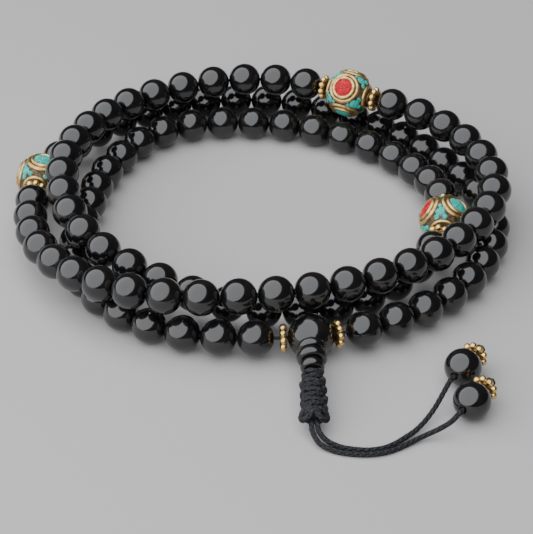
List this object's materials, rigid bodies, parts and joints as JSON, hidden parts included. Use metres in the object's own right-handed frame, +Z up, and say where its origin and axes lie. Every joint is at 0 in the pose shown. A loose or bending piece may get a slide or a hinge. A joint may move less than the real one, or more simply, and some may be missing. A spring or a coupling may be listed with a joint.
{
  "type": "mala prayer beads",
  "caption": "String of round black prayer beads laid in a three-turn coil, with inlaid markers, a guru bead, a knotted sliding tail and two beaded cord ends",
  "frame": {"origin": "middle of the coil, on the table plane that its lower beads rest on", "axes": "+Z up, the tail leaves the guru bead towards -Y, +X to the right"},
  "size_m": [0.1171, 0.146, 0.0195],
  "materials": {
    "stone": "polished, near black",
    "inlaid_brass": "aged, with turquoise and coral inlay",
    "gold": "bright gold tone",
    "cord": "braided nylon, matte"
  },
  "bodies": {
    "strand": {"bead_run_01": "stone", "bead_run_02": "stone", "bead_run_03": "stone", "bead_run_04": "stone", "bead_run_05": "stone", "bead_run_06": "stone", "bead_run_07": "stone", "bead_run_08": "stone", "bead_run_09": "stone", "bead_run_10": "stone", "bead_run_11": "stone", "bead_run_12": "stone", "bead_run_13": "stone", "bead_run_14": "stone", "bead_run_15": "stone", "bead_run_16": "stone", "bead_run_17": "stone", "bead_run_18": "stone", "bead_run_19": "stone", "bead_run_20": "stone", "bead_run_21": "stone", "bead_run_22": "stone", "bead_run_23": "stone", "bead_run_24": "stone", "bead_run_25": "stone", "bead_run_26": "stone", "bead_run_27": "stone", "bead_run_28": "stone", "bead_run_29": "stone", "bead_run_30": "stone", "bead_run_31": "stone", "bead_run_32": "stone", "bead_run_33": "stone", "bead_run_34": "stone", "bead_run_35": "stone", "bead_run_36": "stone", "string_loop": "cord"},
    "marker_bead_1_body": {"marker_bead_1": "inlaid_brass"},
    "marker_bead_2_body": {"marker_bead_2": "inlaid_brass"},
    "marker_bead_3_body": {"marker_bead_3": "inlaid_brass"},
    "spacer_1_body": {"spacer_1": "gold"},
    "spacer_2_body": {"spacer_2": "gold"},
    "spacer_3_body": {"spacer_3": "gold"},
    "spacer_4_body": {"spacer_4": "gold"},
    "spacer_5_body": {"spacer_5": "gold"},
    "spacer_6_body": {"spacer_6": "gold"},
    "spacer_7_body": {"spacer_7": "gold"},
    "spacer_8_body": {"spacer_8": "gold"},
    "guru": {"guru_bead": "stone"},
    "tail": {"tail_core": "cord"},
    "tower_disc_1_body": {"tower_disc_1": "stone"},
    "tower_disc_2_body": {"tower_disc_2": "stone"},
    "tower_disc_3_body": {"tower_disc_3": "stone"},
    "knot_slide_body": {"square_knots": "cord"},
    "cord_a_body": {"cord_a": "cord"},
    "end_bead_a_body": {"end_bead_a": "stone"},
    "end_cap_a_body": {"end_cap_a": "gold"},
    "cord_b_body": {"cord_b": "cord"},
    "end_bead_b_body": {"end_bead_b": "stone"},
    "end_cap_b_body": {"end_cap_b": "gold"}
  },
  "joints": [
    {"name": "marker_bead_1_spin", "type": "hinge", "parent": "strand", "child": "marker_bead_1_body", "pos_m": [-0.05243, 0.01341, 0.00616], "axis": [-0.1859, -0.9811, 0.0536], "continuous": true},
    {"name": "marker_bead_2_spin", "type": "hinge", "parent": "strand", "child": "marker_bead_2_body", "pos_m": [0.02302, 0.04206, 0.01352], "axis": [-0.8937, 0.4483, 0.0184], "continuous": true},
    {"name": "marker_bead_3_spin", "type": "hinge", "parent": "strand", "child": "marker_bead_3_body", "pos_m": [0.04295, -0.00745, 0.00656], "axis": [0.1671, 0.9858, 0.0138], "continuous": true},
    {"name": "spacer_1_spin", "type": "hinge", "parent": "strand", "child": "spacer_1_body", "pos_m": [-0.05074, 0.02004, 0.00582], "axis": [-0.3083, -0.9502, 0.0447], "continuous": true},
    {"name": "spacer_2_spin", "type": "hinge", "parent": "strand", "child": "spacer_2_body", "pos_m": [-0.05332, 0.00663, 0.00656], "axis": [-0.0757, -0.9952, 0.0625], "continuous": true},
    {"name": "spacer_3_spin", "type": "hinge", "parent": "strand", "child": "spacer_3_body", "pos_m": [0.02915, 0.03903, 0.01333], "axis": [-0.893, 0.4487, 0.0364], "continuous": true},
    {"name": "spacer_4_spin", "type": "hinge", "parent": "strand", "child": "spacer_4_body", "pos_m": [0.01687, 0.0451, 0.01361], "axis": [-0.9056, 0.424, 0.0073], "continuous": true},
    {"name": "spacer_5_spin", "type": "hinge", "parent": "strand", "child": "spacer_5_body", "pos_m": [0.04124, -0.01408, 0.00637], "axis": [0.3288, 0.9436, 0.0381], "continuous": true},
    {"name": "spacer_6_spin", "type": "hinge", "parent": "strand", "child": "spacer_6_body", "pos_m": [0.04351, -0.00064, 0.00652], "axis": [-0.006, 0.9996, -0.0294], "continuous": true},
    {"name": "spacer_7_spin", "type": "hinge", "parent": "strand", "child": "spacer_7_body", "pos_m": [0.01634, -0.05062, 0.00508], "axis": [0.9736, 0.2282, -0.0045], "continuous": true},
    {"name": "spacer_8_spin", "type": "hinge", "parent": "strand", "child": "spacer_8_body", "pos_m": [0.00455, -0.05206, 0.00506], "axis": [0.9997, 0.0213, 0.0099], "continuous": true},
    {"name": "tail_lift", "type": "hinge", "parent": "strand", "child": "guru", "pos_m": [0.01048, -0.05165, 0.00509], "axis": [-0.9928, -0.1194, -0.0014], "range_deg": [0, 60]},
    {"name": "tail_swing", "type": "hinge", "parent": "guru", "child": "tail", "pos_m": [0.0104, -0.05671, 0.00677], "axis": [0, 0, 1], "range_deg": [-12, 12]},
    {"name": "tower_disc_1_spin", "type": "hinge", "parent": "tail", "child": "tower_disc_1_body", "pos_m": [0.0104, -0.05833, 0.00648], "axis": [0, -0.9849, -0.173], "continuous": true},
    {"name": "tower_disc_2_spin", "type": "hinge", "parent": "tail", "child": "tower_disc_2_body", "pos_m": [0.0104, -0.0608, 0.00605], "axis": [0, -0.9849, -0.173], "continuous": true},
    {"name": "tower_disc_3_spin", "type": "hinge", "parent": "tail", "child": "tower_disc_3_body", "pos_m": [0.0104, -0.06327, 0.00562], "axis": [0, -0.9849, -0.173], "continuous": true},
    {"name": "knot_slide", "type": "slide", "parent": "tail", "child": "knot_slide_body", "axis": [-0.0068, -0.9852, -0.171], "range_m": [0, 0.0012]},
    {"name": "cord_a_swing", "type": "hinge", "parent": "tail", "child": "cord_a_body", "pos_m": [0.0109, -0.0779, 0.0029], "axis": [0, 0, 1], "range_deg": [0, 8]},
    {"name": "end_bead_a_spin", "type": "hinge", "parent": "cord_a_body", "child": "end_bead_a_body", "pos_m": [0.042, -0.0617, 0.0041], "axis": [0.5593, 0.829, 0], "continuous": true},
    {"name": "end_cap_a_spin", "type": "hinge", "parent": "cord_a_body", "child": "end_cap_a_body", "pos_m": [0.04477, -0.0576, 0.0041], "axis": [0.5593, 0.829, 0], "continuous": true},
    {"name": "cord_b_swing", "type": "hinge", "parent": "tail", "child": "cord_b_body", "pos_m": [0.0097, -0.0779, 0.0029], "axis": [0, 0, 1], "range_deg": [-8, 0]},
    {"name": "end_bead_b_spin", "type": "hinge", "parent": "cord_b_body", "child": "end_bead_b_body", "pos_m": [0.0427, -0.0733, 0.0041], "axis": [0.5822, 0.8131, 0], "continuous": true},
    {"name": "end_cap_b_spin", "type": "hinge", "parent": "cord_b_body", "child": "end_cap_b_body", "pos_m": [0.04558, -0.06928, 0.0041], "axis": [0.5822, 0.8131, 0], "continuous": true}
  ]
}
